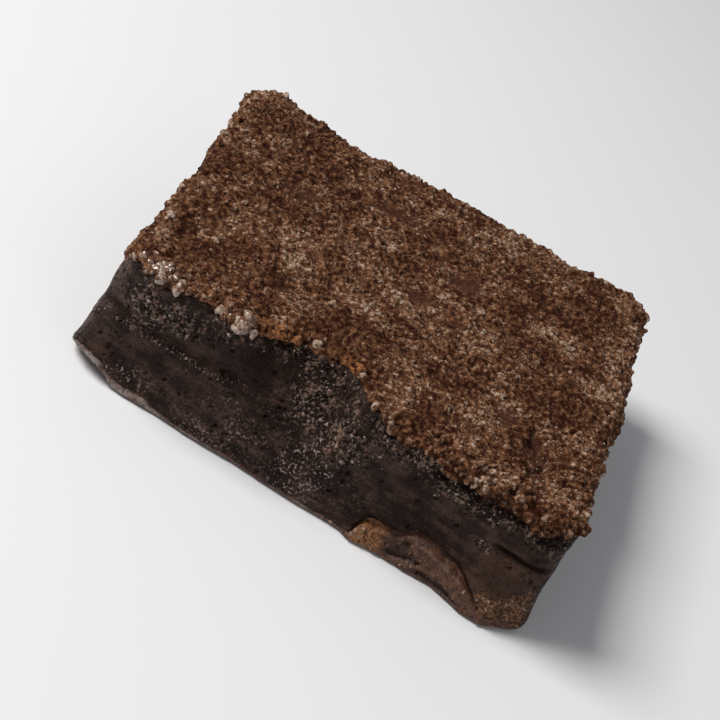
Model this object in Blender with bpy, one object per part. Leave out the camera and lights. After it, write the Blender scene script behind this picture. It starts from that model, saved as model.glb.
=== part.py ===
"""Chocolate brownie: one square cut from a tray bake, lying flat on its base.

The brownie is one solid. It starts as a block cut into a fine grid, and a chain of shaping functions
gives each grid point its place: rounded corners and edges, an outline that the knife left a little
out of square, sides that lean and hang over, and the rise and fall of the baked top.

Frame: +Z up, front cut face towards -Y, origin under the middle of the brownie on the surface it lies on.
Units are metres.
"""

import math

import bmesh
import bpy
from mathutils import Vector, noise

MM = 0.001

# Driving sizes
WIDTH = 72.0 * MM  # along the front cut face
DEPTH = 65.0 * MM  # front to back
HEIGHT = 21.5 * MM  # base to the mean level of the top
CORNER = 4.8 * MM  # radius of the upright corners
TOP_EDGE = 2.4 * MM  # radius where the top rolls over into the sides
FOOT_EDGE = 0.9 * MM  # radius along the base
CRUST = 2.6 * MM  # thickness of the baked top, which hangs over the crumb

# Grid of the block: number of cells along each way, and how much they crowd towards the ends
CELLS_X = 46
CELLS_Y = 42
CELLS_Z = 14
CROWDING = 0.35

# How far the knife left each corner of the plan out of square, as (x, y)
FRONT_LEFT = (0.3 * MM, 2.2 * MM)
FRONT_RIGHT = (-0.8 * MM, -1.4 * MM)
BACK_LEFT = (-1.2 * MM, -2.2 * MM)
BACK_RIGHT = (1.0 * MM, 1.6 * MM)

# Sides: the crust hangs over, the crumb below it is hollowed, and the foot spreads
OVERHANG = 0.40 * MM
WAIST = 0.35 * MM
FOOT_SPREAD = 0.4 * MM
LEFT_LEAN = 2.0 * MM  # the left side spreads from under the crust to its base
RIGHT_LEAN = 2.2 * MM  # and so does the right side, most at the front
LEAN_END = 0.5  # share of the lean that is left at the back
SIDE_FADE = 10.0 * MM  # a side's shape dies out this far in from the rim

# Front face: a stretch of crust has crumbled away and the crumb slopes back to it
BAY_LEFT = -18.0 * MM
BAY_RIGHT = 3.0 * MM
BAY_RUN_IN = 10.0 * MM  # length over which it deepens from the left
BAY_RUN_OUT = 5.5 * MM  # and comes forward again at the right
BAY_DEPTH = 6.6 * MM
BAY_FLOOR = 2.5 * MM  # height where the slope starts

# Front face: below a crease near the right corner the crumb stands out as a toe
TOE_START = 22.0 * MM
TOE_TOP = 11.0 * MM
TOE_OUT = 1.3 * MM

# Front face: the skin of the base curls out into a lip
LIP_LEFT = 9.0 * MM
LIP_RIGHT = 31.0 * MM
LIP_LOW = 2.0 * MM  # height of the lip's edge at its left end
LIP_HIGH = 4.6 * MM  # and at its right end
LIP_OUT = 1.0 * MM

# Front left corner: the base is rounded up off the surface
LIFT = 2.6 * MM
LIFT_REACH = 6.5 * MM

# Top: the back left corner rose into a rounded peak
PEAK_X = -33.0 * MM
PEAK_Y = 27.0 * MM
PEAK_RISE = 1.7 * MM
PEAK_REACH = 9.0 * MM

# Top: hollows, each as (x, y, length, width, turn in degrees, depth)
HOLLOWS = (
    (7.0 * MM, 8.5 * MM, 13.0 * MM, 4.0 * MM, -35.0, 0.9 * MM),
    (26.0 * MM, -24.5 * MM, 14.0 * MM, 3.2 * MM, -72.0, 0.8 * MM),
    (19.5 * MM, -16.0 * MM, 8.0 * MM, 6.0 * MM, 10.0, 0.6 * MM),
    (-15.5 * MM, -17.5 * MM, 9.0 * MM, 4.0 * MM, 20.0, 0.6 * MM),
    (-12.0 * MM, 17.0 * MM, 12.0 * MM, 6.0 * MM, 15.0, 0.5 * MM),
)

# Rim: scallops along the edge of the crust
SCALLOP_PITCH = 11.0 * MM
SCALLOP = 0.28 * MM

# Unevenness: (wavelength, height) of the broad and the fine swell
BROAD_SWELL = (15.0 * MM, 0.75 * MM)
FINE_SWELL = (5.0 * MM, 0.35 * MM)
SEED_TOP = Vector((3.7, 1.9, 8.2))
SEED_SIDE = Vector((6.1, 4.4, 2.3))

CRUMB_COLOR = (0.030, 0.018, 0.013, 1.0)
CRUMB_ROUGHNESS = 0.7


def smooth(value, low, high):
    """Goes gently from 0 at low to 1 at high."""
    t = min(max((value - low) / (high - low), 0.0), 1.0)
    return t * t * (3.0 - 2.0 * t)


def bell(distance, reach):
    """Falls from 1 at no distance to nearly 0 at twice the reach."""
    return math.exp(-(distance / reach) ** 2)


def swell(point, settings, seed):
    """Smooth random height at a point, for a (wavelength, height) setting."""
    wavelength, height = settings
    return height * noise.noise(point / wavelength + seed)


def stations(span, cells):
    """Places of the grid planes between the two ends of a span, closer together near the ends."""
    places = []
    for index in range(1, cells):
        even = 2.0 * index / cells - 1.0
        crowded = math.sin(even * math.pi / 2.0)
        places.append(span / 2.0 * ((1.0 - CROWDING) * even + CROWDING * crowded))
    return places


def gridded_block():
    """A block standing on z = 0 with its faces cut into a grid."""
    mesh = bmesh.new()
    bmesh.ops.create_cube(mesh, size=1.0)
    bmesh.ops.scale(mesh, vec=(WIDTH, DEPTH, HEIGHT), verts=mesh.verts)
    for axis, span, cells in ((0, WIDTH, CELLS_X), (1, DEPTH, CELLS_Y), (2, HEIGHT, CELLS_Z)):
        normal = Vector((0.0, 0.0, 0.0))
        normal[axis] = 1.0
        for place in stations(span, cells):
            everything = mesh.verts[:] + mesh.edges[:] + mesh.faces[:]
            bmesh.ops.bisect_plane(mesh, geom=everything, dist=MM / 1000, plane_co=normal * place,
                                   plane_no=normal)
    bmesh.ops.translate(mesh, vec=(0.0, 0.0, HEIGHT / 2.0), verts=mesh.verts)
    return mesh


def round_corner(x, y):
    """Moves a plan point of the square-cornered block to its place in the round-cornered one."""
    straight_x = WIDTH / 2.0 - CORNER
    straight_y = DEPTH / 2.0 - CORNER
    across = (abs(x) - straight_x) / CORNER
    along = (abs(y) - straight_y) / CORNER
    if across <= 0.0 or along <= 0.0:
        return x, y
    new_x = straight_x + CORNER * across * math.sqrt(1.0 - along * along / 2.0)
    new_y = straight_y + CORNER * along * math.sqrt(1.0 - across * across / 2.0)
    return math.copysign(new_x, x), math.copysign(new_y, y)


def outline_at(x, y):
    """Distance in from the rounded plan outline, and the direction straight out to it."""
    over_x = abs(x) - (WIDTH / 2.0 - CORNER)
    over_y = abs(y) - (DEPTH / 2.0 - CORNER)
    if over_x > 0.0 and over_y > 0.0:
        out = Vector((math.copysign(over_x, x), math.copysign(over_y, y), 0.0))
        return max(CORNER - out.length, 0.0), out.normalized()
    if over_x > over_y:
        return CORNER - over_x, Vector((math.copysign(1.0, x), 0.0, 0.0))
    return CORNER - over_y, Vector((0.0, math.copysign(1.0, y), 0.0))


def roll(inset, depth, radius):
    """Bends the square edge between a side and a level face into a quarter circle.

    inset is the distance in from the outline and depth the distance from the level face.
    """
    if inset >= radius or depth >= radius:
        return inset, depth
    turn = (inset - depth + radius) / (2.0 * radius) * math.pi / 2.0
    return radius * (1.0 - math.cos(turn)), radius * (1.0 - math.sin(turn))


def rounded(point):
    """The point's place on the block with its corners and edges rounded, with its inset and out direction."""
    x, y = round_corner(point.x, point.y)
    inset, out = outline_at(x, y)
    top_inset, drop = roll(inset, HEIGHT - point.z, TOP_EDGE)
    foot_inset, rise = roll(inset, point.z, FOOT_EDGE)
    moved = (top_inset - inset) + (foot_inset - inset)
    height = HEIGHT - drop if point.z > HEIGHT / 2.0 else rise
    return Vector((x, y, height)) - out * moved, inset, out


def out_of_square(point):
    """How far the uneven plan moves a point, blended from its four corners."""
    right = point.x / WIDTH + 0.5
    back = point.y / DEPTH + 0.5
    move = Vector((0.0, 0.0, 0.0))
    for corner, share in ((FRONT_LEFT, (1.0 - right) * (1.0 - back)), (FRONT_RIGHT, right * (1.0 - back)),
                          (BACK_LEFT, (1.0 - right) * back), (BACK_RIGHT, right * back)):
        move += Vector((corner[0], corner[1], 0.0)) * share
    return move


def crumb_profile(z):
    """How far a cut side stands out at a height: overhanging crust, hollowed crumb, spreading foot."""
    under_crust = HEIGHT - CRUST
    crust = OVERHANG * smooth(z, under_crust - 0.4 * CRUST, under_crust + 0.4 * CRUST)
    waist = WAIST * math.sin(math.pi * min(z / under_crust, 1.0)) ** 2
    foot = FOOT_SPREAD * (1.0 - smooth(z, 0.0, 3.0 * FOOT_SPREAD + FOOT_EDGE))
    return crust - waist + foot


def bay(x, z):
    """How far the front face slopes back where its crust has crumbled away."""
    left = smooth(x, BAY_LEFT, BAY_LEFT + BAY_RUN_IN)
    right = 1.0 - smooth(x, BAY_RIGHT - BAY_RUN_OUT, BAY_RIGHT)
    slope = max(z - BAY_FLOOR, 0.0) / (HEIGHT - BAY_FLOOR)
    return BAY_DEPTH * left * right * slope ** 1.4


def toe(x, z):
    """How far the toe under the crease stands out."""
    below = 1.0 - smooth(z, TOE_TOP - 1.0 * MM, TOE_TOP + 0.6 * MM)
    return TOE_OUT * below * smooth(x, TOE_START, TOE_START + 7.0 * MM)


def lip(x, z):
    """How far the curled skin of the base stands out."""
    along = min(max((x - LIP_LEFT) / (LIP_RIGHT - LIP_LEFT), 0.0), 1.0)
    edge = LIP_LOW + (LIP_HIGH - LIP_LOW) * along
    reach = smooth(x, LIP_LEFT - 2.0 * MM, LIP_LEFT) * (1.0 - smooth(x, LIP_RIGHT, LIP_RIGHT + 2.0 * MM))
    return LIP_OUT * reach * (1.0 - smooth(z, edge - 0.6 * MM, edge + 1.0 * MM))


def side_shape(point, inset, out):
    """How far a side moves a point, straight out of the plan outline."""
    x, y, z = point
    front = max(-out.y, 0.0) ** 2
    left = max(-out.x, 0.0) ** 2
    right = max(out.x, 0.0) ** 2
    stand_out = crumb_profile(z)
    stand_out += front * (toe(x, z) + lip(x, z) - bay(x, z))
    along = 1.0 - (1.0 - LEAN_END) * smooth(y, -DEPTH / 2.0, DEPTH / 2.0)
    stand_out += left * LEFT_LEAN * along * (1.0 - smooth(z, 0.35 * HEIGHT, HEIGHT))
    stand_out += right * RIGHT_LEAN * along * (1.0 - z / HEIGHT)
    scallop = 0.5 * math.sin(2.0 * math.pi * (x + 0.7 * y) / SCALLOP_PITCH)
    scallop += 2.0 * noise.noise(2.0 * point / SCALLOP_PITCH)
    stand_out += SCALLOP * scallop * smooth(z, HEIGHT - 2.0 * CRUST, HEIGHT)
    stand_out += swell(point, BROAD_SWELL, SEED_SIDE) + swell(point, FINE_SWELL, SEED_SIDE)
    return out * stand_out * (1.0 - smooth(inset, 0.0, SIDE_FADE))


def hollows(x, y):
    """Depth of the hollows of the top at a plan point."""
    total = 0.0
    for centre_x, centre_y, length, width, turn, depth in HOLLOWS:
        angle = math.radians(turn)
        along = (x - centre_x) * math.cos(angle) + (y - centre_y) * math.sin(angle)
        across = (y - centre_y) * math.cos(angle) - (x - centre_x) * math.sin(angle)
        total += depth * bell(along, length / 2.0) * bell(across, width / 2.0)
    return total


def top_relief(point):
    """How far the baked top rises over its mean level at a plan point."""
    flat = Vector((point.x, point.y, 0.0))
    rise = swell(flat, BROAD_SWELL, SEED_TOP) + swell(flat, FINE_SWELL, SEED_TOP)
    rise += PEAK_RISE * bell(math.hypot(point.x - PEAK_X, point.y - PEAK_Y), PEAK_REACH)
    return rise - hollows(point.x, point.y)


def base_lift(point):
    """How far the base of the front left corner is rounded up."""
    away = math.hypot(point.x + WIDTH / 2.0, point.y + DEPTH / 2.0)
    return LIFT * (1.0 - smooth(away, 0.25 * LIFT_REACH, LIFT_REACH)) * (1.0 - smooth(point.z, 0.0, 3.0 * LIFT))


def shape(mesh):
    """Moves every grid point of the block to its place on the brownie."""
    for vertex in mesh.verts:
        place, inset, out = rounded(vertex.co)
        on_base = place.z < MM / 100
        move = out_of_square(place) + side_shape(place, inset, out)
        top_share = smooth(place.z, 0.5 * HEIGHT, HEIGHT)
        move.z = top_relief(place) * top_share + base_lift(place)
        vertex.co = place + move
        if on_base and move.z < MM / 100:
            vertex.co.z = 0.0


def centre(mesh):
    """Puts the middle of the bounding box's base on the origin."""
    for axis in (0, 1):
        places = [vertex.co[axis] for vertex in mesh.verts]
        middle = (min(places) + max(places)) / 2.0
        for vertex in mesh.verts:
            vertex.co[axis] -= middle


def crumb_material():
    """Dark, dense chocolate crumb."""
    material = bpy.data.materials.new("chocolate crumb")
    material.use_nodes = True
    shader = material.node_tree.nodes["Principled BSDF"]
    shader.inputs["Base Color"].default_value = CRUMB_COLOR
    shader.inputs["Roughness"].default_value = CRUMB_ROUGHNESS
    shader.inputs["Metallic"].default_value = 0.0
    return material


def make_brownie(collection):
    """The whole brownie as one closed solid."""
    grid = gridded_block()
    shape(grid)
    centre(grid)
    data = bpy.data.meshes.new("brownie")
    grid.to_mesh(data)
    grid.free()
    data.shade_smooth()
    data.materials.append(crumb_material())
    brownie = bpy.data.objects.new("brownie", data)
    collection.objects.link(brownie)
    return brownie


def main():
    for leftover in list(bpy.data.objects):
        bpy.data.objects.remove(leftover, do_unlink=True)
    collection = bpy.data.collections.new("chocolate brownie")
    bpy.context.scene.collection.children.link(collection)
    make_brownie(collection)


main()
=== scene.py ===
"""Chocolate brownie: crust, crumb and loose grains around the packed solid.

The packed solid gives the form. Three fine skins are cut from an evenly remeshed copy of it: the dense
crumb of the cut sides, the baked crust that covers the top and hangs over their upper edge, and the thin
skin that the baking tray left along the base. Geometry Nodes give them their relief, and scatter grains
and crumbs over them. Everything is in metres, in the solid's own frame.
"""

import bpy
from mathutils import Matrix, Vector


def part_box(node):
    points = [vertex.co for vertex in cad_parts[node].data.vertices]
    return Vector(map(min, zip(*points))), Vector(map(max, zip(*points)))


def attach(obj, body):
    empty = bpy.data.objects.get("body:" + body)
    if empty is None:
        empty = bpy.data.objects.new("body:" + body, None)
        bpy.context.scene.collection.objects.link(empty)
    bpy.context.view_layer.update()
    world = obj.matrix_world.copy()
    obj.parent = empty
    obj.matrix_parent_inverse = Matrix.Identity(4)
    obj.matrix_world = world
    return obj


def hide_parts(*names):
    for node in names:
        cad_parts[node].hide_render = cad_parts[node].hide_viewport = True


bl_info = {
    "name": "Chocolate brownie",
    "version": (1, 0, 0),
    "blender": (4, 5, 0),
    "location": "3D View > Sidebar > Brownie",
    "description": "A cut square of fudge brownie with a granular baked crust",
    "category": "Add Mesh",
}

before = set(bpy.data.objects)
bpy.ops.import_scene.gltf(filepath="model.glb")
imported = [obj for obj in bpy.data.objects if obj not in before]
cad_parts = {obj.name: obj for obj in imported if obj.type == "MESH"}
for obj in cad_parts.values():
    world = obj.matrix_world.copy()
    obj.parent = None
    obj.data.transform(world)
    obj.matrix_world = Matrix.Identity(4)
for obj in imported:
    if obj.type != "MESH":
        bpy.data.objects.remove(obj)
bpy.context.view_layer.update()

import functools
import math

import bmesh
import bpy
import numpy as np
from bpy.props import FloatProperty, FloatVectorProperty, IntProperty, PointerProperty
from mathutils import Matrix, Vector, kdtree, noise

MM = 0.001
NODE = "brownie"
BODY = "root"
LOW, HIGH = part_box(NODE)
SIZE = HIGH - LOW

# How the skins are cut from the solid
VOXEL = 0.30 * MM  # edge of a skin's cells
SMOOTHING = 14  # passes that take the flat facets off the solid
LAP = 1.5 * MM  # how far each skin runs on under the other
RIM_TILT = (0.60, 0.80)  # how level the surface is where the top or the base rolls over into a side
FACE_TILT = 0.7  # what is more level than this belongs to the top or the base
LONG_RIM = 100  # points past which an open rim goes round the whole brownie
CRUMB_CAP, CRUST_CAP, BASE_CAP = 9.0 * MM, 13.0 * MM, 5.0 * MM  # where a skin's hidden cap comes together
BASE_LEVEL = 0.6 * MM  # up to here an open rim counts as lying in the flat base
BASE_KEPT = 0.42  # share of the size past which the fine cells of the flat base are kept

# The relief, the patches and the grains
WOBBLE = 0.35 * MM  # how far grains and pits are bent out of round
MOTTLE = {"Detail": 5.0, "Roughness": 0.72, "Distortion": 0.8}  # how the patches break up into smaller ones
PATCH = 10.0 * MM  # size of the largest of the paler and darker patches
DENSEST = 2.0e7  # grains to a square metre before those too near another are left out
ALL_ROUND = 6.28  # a full turn, in radians

# The stage
MIDDLE = Vector((-1.0 * MM, -2.1 * MM, 6.7 * MM))  # what the camera and the lights aim at
FLOOR_REACH = 1.5  # how far the board runs out from the middle on each side


def linear(hex_colour):
    """An sRGB hex colour as linear RGBA."""
    channels = [int(hex_colour[i:i + 2], 16) / 255.0 for i in (1, 3, 5)]
    curve = [c / 12.92 if c <= 0.04045 else ((c + 0.055) / 1.055) ** 2.4 for c in channels]
    return (*curve, 1.0)


def smooth(value, low, high):
    """Goes gently from 0 at low to 1 at high, for a number or an array."""
    t = np.clip((value - low) / (high - low), 0.0, 1.0)
    return t * t * (3.0 - 2.0 * t)


def spots(across, along, places):
    """1 at the middle of each place and falling off over its half sizes, on coordinates in millimetres."""
    away = [((across - a) / half_a) ** 2 + ((along - b) / half_b) ** 2 for a, b, half_a, half_b in places]
    return np.clip(sum(np.exp(-square ** 2) for square in away), 0.0, 1.0)


def bell(distance, reach):
    """Falls from 1 at no distance to nearly 0 at twice the reach."""
    return np.exp(-(distance / reach) ** 2)


def feed(tree, node, inputs):
    """Gives each of a node's sockets its value, or links it to the output that it takes."""
    for socket, value in inputs.items():
        if isinstance(value, bpy.types.NodeSocket):
            tree.links.new(value, node.inputs[socket])
        else:
            node.inputs[socket].default_value = value
    return node


def add(tree, kind, inputs=None, **settings):
    """Adds a node; settings are its own properties, inputs a socket's value or the output it takes."""
    node = tree.nodes.new(kind)
    for name, value in settings.items():
        setattr(node, name, value)
    return feed(tree, node, inputs or {})


def colour(name, hex_colour):
    """A colour that the sidebar shows, with its default."""
    return FloatVectorProperty(name=name, description=name, subtype="COLOR", size=4, min=0.0, max=1.0,
                               default=linear(hex_colour))


def length(name, description, default):
    """A length that the sidebar shows, with its default in metres."""
    return FloatProperty(name=name, description=description, default=default, precision=5, unit="LENGTH")


# Places on the surface, in millimetres from the middle of the base: x to the right, y to the back, z up.
# Those on the crust are (x, y, half width, half depth), those on the front (x, z, half width, half height).
WET = ((-32.0, -29.5, 3.8, 2.4), (-17.6, -30.2, 2.4, 1.5))  # shiny clumps of the crust's front edge
FILM = ((-5.5, 17.5, 5.0, 2.0), (7.0, 9.5, 3.6, 2.2), (-15.6, -17.8, 2.0, 1.4), (20.0, -16.8, 2.2, 1.5),
        (1.0, -1.5, 2.6, 1.3), (-22.0, 8.0, 3.2, 1.6))  # bare and smooth, without grains
TOASTED = ((-11.0, -27.3, 4.6, 1.7), (-3.0, -25.5, 2.0, 1.2))  # orange-brown edge
VALLEY = ((25.3, -19.0, 1.4, 2.8), (26.2, -24.0, 1.3, 2.8), (26.6, -28.8, 1.2, 2.8))  # runs to the front
BROKEN = ((-26.5, 15.8, 5.0, 2.6), (-1.5, 14.0, 7.0, 4.2), (21.5, 16.3, 6.0, 2.2), (24.8, 10.9, 1.6, 0.8),
          (31.0, 17.0, 4.0, 2.0))  # torn and granular crumb of the front
SPECKLED = ((-5.0, 6.0, 13.0, 7.0), (-29.0, 15.5, 5.0, 3.5), (-27.0, 4.0, 4.0, 1.6))  # finely grained
CLEAN = ((-14.5, 15.0, 5.0, 3.6),)  # the most smoothly sliced and the darkest
UNDER_LIP = ((15.6, 2.5, 3.4, 1.0), (22.5, 0.9, 4.5, 0.7))  # hollows under the curled lip's edge
BAY_END = (1.0, 9.0)  # where the thin crust of the front left gives way to the thick one, in x
SEAM = (10.7, -13.0)  # height of the broken seam between two layers of the front, and its right end
FOLD = (11.8, 25.8)  # height of the fold in the front, and its left end
LIP = (9.0, 30.5)  # left and right end of the curled lip

# How far things wander and how deep they lie, in millimetres
LIP_WANDER = 0.6  # how much the lip's edge goes up and down
CRUST_SET_IN = 0.35  # the crust before its grains and lumps raise it
CRUST_PROUD = 0.3  # how far its lower edge stands out again
CRUST_TUCK = 1.3  # its hidden edge behind its visible one
FILM_DEPTH = 0.35  # its bare and smooth places
SHELF_DEPTH = 0.6  # the broken line along its edge
VALLEY_DEPTH = 1.4
UNDER_CRUST = 0.8  # the crumb where the crust covers it
UNDER_SKIN = 0.5  # the crumb where the base skin covers it
STEP_DEPTH = 0.7  # the layer above the broken seam
GAP_DEPTH = 1.1  # the crumb just above the curled lip
HOLE_DEPTH = 1.0  # the ragged holes just under the crust
SKIN_SET_IN = 0.1  # the base skin before its relief
SKIN_TUCK = 1.2  # its hidden edge behind its visible one
HOLLOW_DEPTH = 0.7  # the hollows under the lip's edge

# Inputs of the tree that gives a surface its relief
RELIEF = {
    "Grain": "Size of the grains",
    "Grain height": "How far the grains stand out",
    "Lump": "Size of the lumps",
    "Lump height": "Height of the lumps",
    "Pit": "Size of the holes",
    "Pit depth": "Depth of the holes",
}


# ------------------------------------------------------------------------------------------ settings

class BrownieCrumb(bpy.types.PropertyGroup):
    """Dense crumb of the cut sides."""

    recess: length("Recess", "How far the crumb lies behind the crust's edge", 0.45 * MM)
    crease: length("Crease", "Depth of the fold across the right of the front face", 1.0 * MM)
    # the crumb's own near-black; also laid as painted shade in the pits, the fold, the gap above the lip and
    # the holes under the crust
    dark: colour("Dark crumb", "#190c06")
    light: colour("Light crumb", "#46322a")
    # paler torn crumb, laid on the crests of grains and ribs: partly the torn crumb's own colour, partly a
    # painted highlight
    broken: colour("Broken crumb", "#8f7262")
    # a paler crumb laid low on the right of the front, below the fold, and under the toe's grains
    worn: colour("Worn crumb", "#4c3428")
    # orange-brown of the browned toe, laid on the crests of its grains: partly its own colour, partly a
    # painted highlight
    toe: colour("Browned toe", "#92694b")
    speck: colour("Specks", "#99867e")


class BrownieCrust(bpy.types.PropertyGroup):
    """Baked crust of the top."""

    hang: length("Hang", "How far the crust comes down over the cut sides", 1.7 * MM)
    front_left_hang: length("Front left hang", "The same at the left of the front face", 0.4 * MM)
    front_right_hang: length("Front right hang", "The same at the right of the front face", 2.6 * MM)
    ragged: length("Raggedness", "How much the crust's lower edge wanders", 1.1 * MM)
    # darkest stop of the crust's tones: the crust's own darkest brown, and the painted shade between its
    # grains and in its pits
    hollow: colour("Between grains", "#2a0e02")
    brown: colour("Crust brown", "#583823")
    warm: colour("Warm brown", "#7c573c")
    # pale of the dried sugar on the grain tips, greyed as a painted sheen
    pale: colour("Pale tips", "#a69282")
    toasted: colour("Toasted edge", "#9a643c")
    # the bare film's own darker brown; also laid in the valley as painted shade
    film: colour("Bare film", "#3b2116")


class BrownieBaseSkin(bpy.types.PropertyGroup):
    """Thin skin that the tray left on the base."""

    reach: length("Reach", "How far the skin comes up the sides", 0.5 * MM)
    left_reach: length("Left reach", "The same at the left of the front face", 1.3 * MM)
    lip_low: length("Lip start", "Height of the curled lip at its left end", 3.0 * MM)
    lip_high: length("Lip top", "Height of the curled lip where it is highest", 5.0 * MM)
    curl: length("Curl", "How far the lip's edge bends outwards", 0.8 * MM)
    # pale rim along the base: partly the skin's own paler colour, partly a painted sheen
    edge: colour("Skin edge", "#8b7d76")
    brown: colour("Skin brown", "#593826")
    ridge: colour("Lip edge", "#654738")
    toasted: colour("Toasted start", "#82552f")
    # the skin's own dark brown; also laid under the lip's edge as painted shade
    dark: colour("Skin dark", "#2c140b")


class BrownieGrains(bpy.types.PropertyGroup):
    """Loose grains on the crust and crumbs on the sides."""

    seed: IntProperty(name="Seed", description="Changes where the grains fall", default=4)
    dark: colour("Dark grain", "#351403")
    middle: colour("Middle grain", "#684631")
    # the pale ends of the grains' tones: dried sugar, greyed as a painted sheen
    light: colour("Light grain", "#9a8472")
    sugared: colour("Sugared fine grain", "#b09d8d")
    crumb_dark: colour("Dark crumb", "#190b05")
    crumb_middle: colour("Middle crumb", "#38231a")
    moist: colour("Moist lump", "#6f4c3d")
    crumb_light: colour("Light crumb", "#97857a")


def setting(label):
    """The name of the setting with a label."""
    return label.lower().replace(" ", "_")


for group, *sizes in (  # in millimetres, in the order of RELIEF
        (BrownieCrumb, 0.9, 0.35, 1.1, 1.2, 0.9, 0.8),
        (BrownieCrust, 1.25, 0.55, 3.5, 2.0, 1.6, 0.8),
        (BrownieBaseSkin, 0.8, 0.35, 1.6, 1.0, 1.0, 0.6)):
    for (label, description), size in zip(RELIEF.items(), sizes):
        group.__annotations__[setting(label)] = length(label, description, size * MM)

for label, radius, spacing in (  # in millimetres
        ("Coarse", 0.52, 0.70), ("Fine", 0.25, 0.36), ("Crumb", 0.38, 0.42), ("Lump", 0.8, 0.75),
        ("Wet", 1.15, 0.75), ("Speck", 0.18, 0.50), ("Seam", 0.26, 0.24), ("Moist", 0.65, 0.95)):
    BrownieGrains.__annotations__[setting(label + " radius")] = length(
        label + " radius", "Radius of the largest of them", radius * MM)
    BrownieGrains.__annotations__[setting(label + " spacing")] = length(
        label + " spacing", "Least distance between them", spacing * MM)


class BrownieStage(bpy.types.PropertyGroup):
    """Floor, light and camera."""

    floor: colour("Floor", "#e3e3e4")
    key: FloatProperty(name="Key light", description="Power of the main light", default=7.2, unit="POWER")
    fill: FloatProperty(name="Fill light", description="Power of the front light", default=0.8, unit="POWER")
    sky: FloatProperty(name="Room light", description="Strength of the even light all round", default=0.27)


# ------------------------------------------------------------------------------------------ the form

class Skin:
    """The remeshed solid as arrays, with what each point needs to know about its place.

    down is how far a side point lies below the top's rim, and up how far above the base's rim. On the top,
    down is minus the distance in from the rim, and on the base, up is the same.
    """

    def __init__(self, mesh):
        self.mesh = mesh
        self.co = self.read("co")
        self.x, self.y, self.z = (self.co / MM).T  # in millimetres, as all places on the surface are given
        self.normal = self.read("normal")
        high = self.co[:, 2] > SIZE.z / 2.0
        self.down = self.from_rim(high, 1.0)
        self.up = self.from_rim(~high, -1.0)
        self.front = smooth(-self.normal[:, 1], 0.3, 0.9)
        self.standing = smooth(self.co[:, 2], 0.2 * MM, 1.0 * MM)

    def read(self, key):
        values = np.empty(len(self.mesh.vertices) * 3, np.float32)
        self.mesh.vertices.foreach_get(key, values)
        return values.reshape(-1, 3).astype(float)

    def from_rim(self, half, facing):
        """Distances from the rim of the face that looks up (1) or down (-1) in one half of the form."""
        level = self.normal[:, 2] * facing
        rim = np.flatnonzero(half & (level > RIM_TILT[0]) & (level < RIM_TILT[1]))
        tree = kdtree.KDTree(len(rim))
        for place, index in enumerate(rim):
            x, y, _ = self.co[index]
            tree.insert((x, y, 0.0), place)
        tree.balance()
        away = np.empty(len(self.co))
        on_face = half & (level > FACE_TILT)
        for index, (x, y, z) in enumerate(self.co):
            _, place, distance = tree.find((x, y, 0.0))
            away[index] = -distance if on_face[index] else (self.co[rim[place], 2] - z) * facing
        return away


def noise_at(points, wavelength, seed, octaves=1):
    """Smooth random values of about -1 to 1 at points, over a wavelength and its halves."""
    shift = Vector((seed, 2.3 * seed, 5.1 * seed))
    values = np.zeros(len(points))
    share, size = 1.0, wavelength
    for _ in range(octaves):
        values += share * np.array([noise.noise(Vector(p) / size + shift) for p in points])
        share, size = share / 2.0, size / 2.0
    return values


@functools.lru_cache(maxsize=1)
def fine_skin():
    """The Skin of a fine, even mesh of the solid without its facets, made once for all pieces."""
    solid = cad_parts[NODE].data.copy()
    solid.materials.clear()
    merged = bmesh.new()
    merged.from_mesh(solid)
    bmesh.ops.remove_doubles(merged, verts=merged.verts, dist=MM / 1000)
    merged.to_mesh(solid)
    merged.free()
    holder = bpy.data.objects.new("form", solid)
    bpy.context.scene.collection.objects.link(holder)
    remesh = holder.modifiers.new("even cells", "REMESH")
    remesh.mode = "VOXEL"
    remesh.voxel_size = VOXEL
    relax = holder.modifiers.new("no facets", "SMOOTH")
    relax.factor = 0.5
    relax.iterations = SMOOTHING
    form = bpy.data.meshes.new_from_object(holder.evaluated_get(bpy.context.evaluated_depsgraph_get()))
    bpy.data.objects.remove(holder)
    return Skin(form)


def crust_hang(skin, crust):
    """How far down from the rim the crust reaches at each point, ragged."""
    on_right = smooth(skin.x, *BAY_END)
    front = crust.front_left_hang + (crust.front_right_hang - crust.front_left_hang) * on_right
    reach = crust.hang + (front - crust.hang) * skin.front
    wander = noise_at(skin.co, 5.0 * MM, 3.1, octaves=3)
    return reach + crust.ragged * wander * (1.0 - 0.5 * skin.front * (1.0 - on_right))


def skin_reach(skin, base):
    """How far up from the base's rim the tray's skin reaches at each point, and where the curled lip is."""
    left, right = LIP
    ends = smooth(skin.x, left - 1.0, left + 1.2) * (1.0 - smooth(skin.x, right - 6.0, right + 1.0))
    on_lip = ends * skin.front
    rise = smooth(skin.x, left + 5.2, left + 8.0) - 0.7 * smooth(skin.x, left + 9.0, right - 2.5)
    height = base.lip_low + (base.lip_high - base.lip_low) * rise
    on_left = skin.front * (1.0 - smooth(skin.x, -29.0, -18.0))
    wander = noise_at(skin.co, 4.0 * MM, 6.3, octaves=2)
    on_toe = skin.front * smooth(skin.x, right - 3.0, right)
    low = (base.reach + (base.left_reach - base.reach) * np.maximum(on_left, on_toe)) * (1.0 + 0.4 * wander)
    return low + (height - low + LIP_WANDER * MM * wander) * on_lip, on_lip


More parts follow.
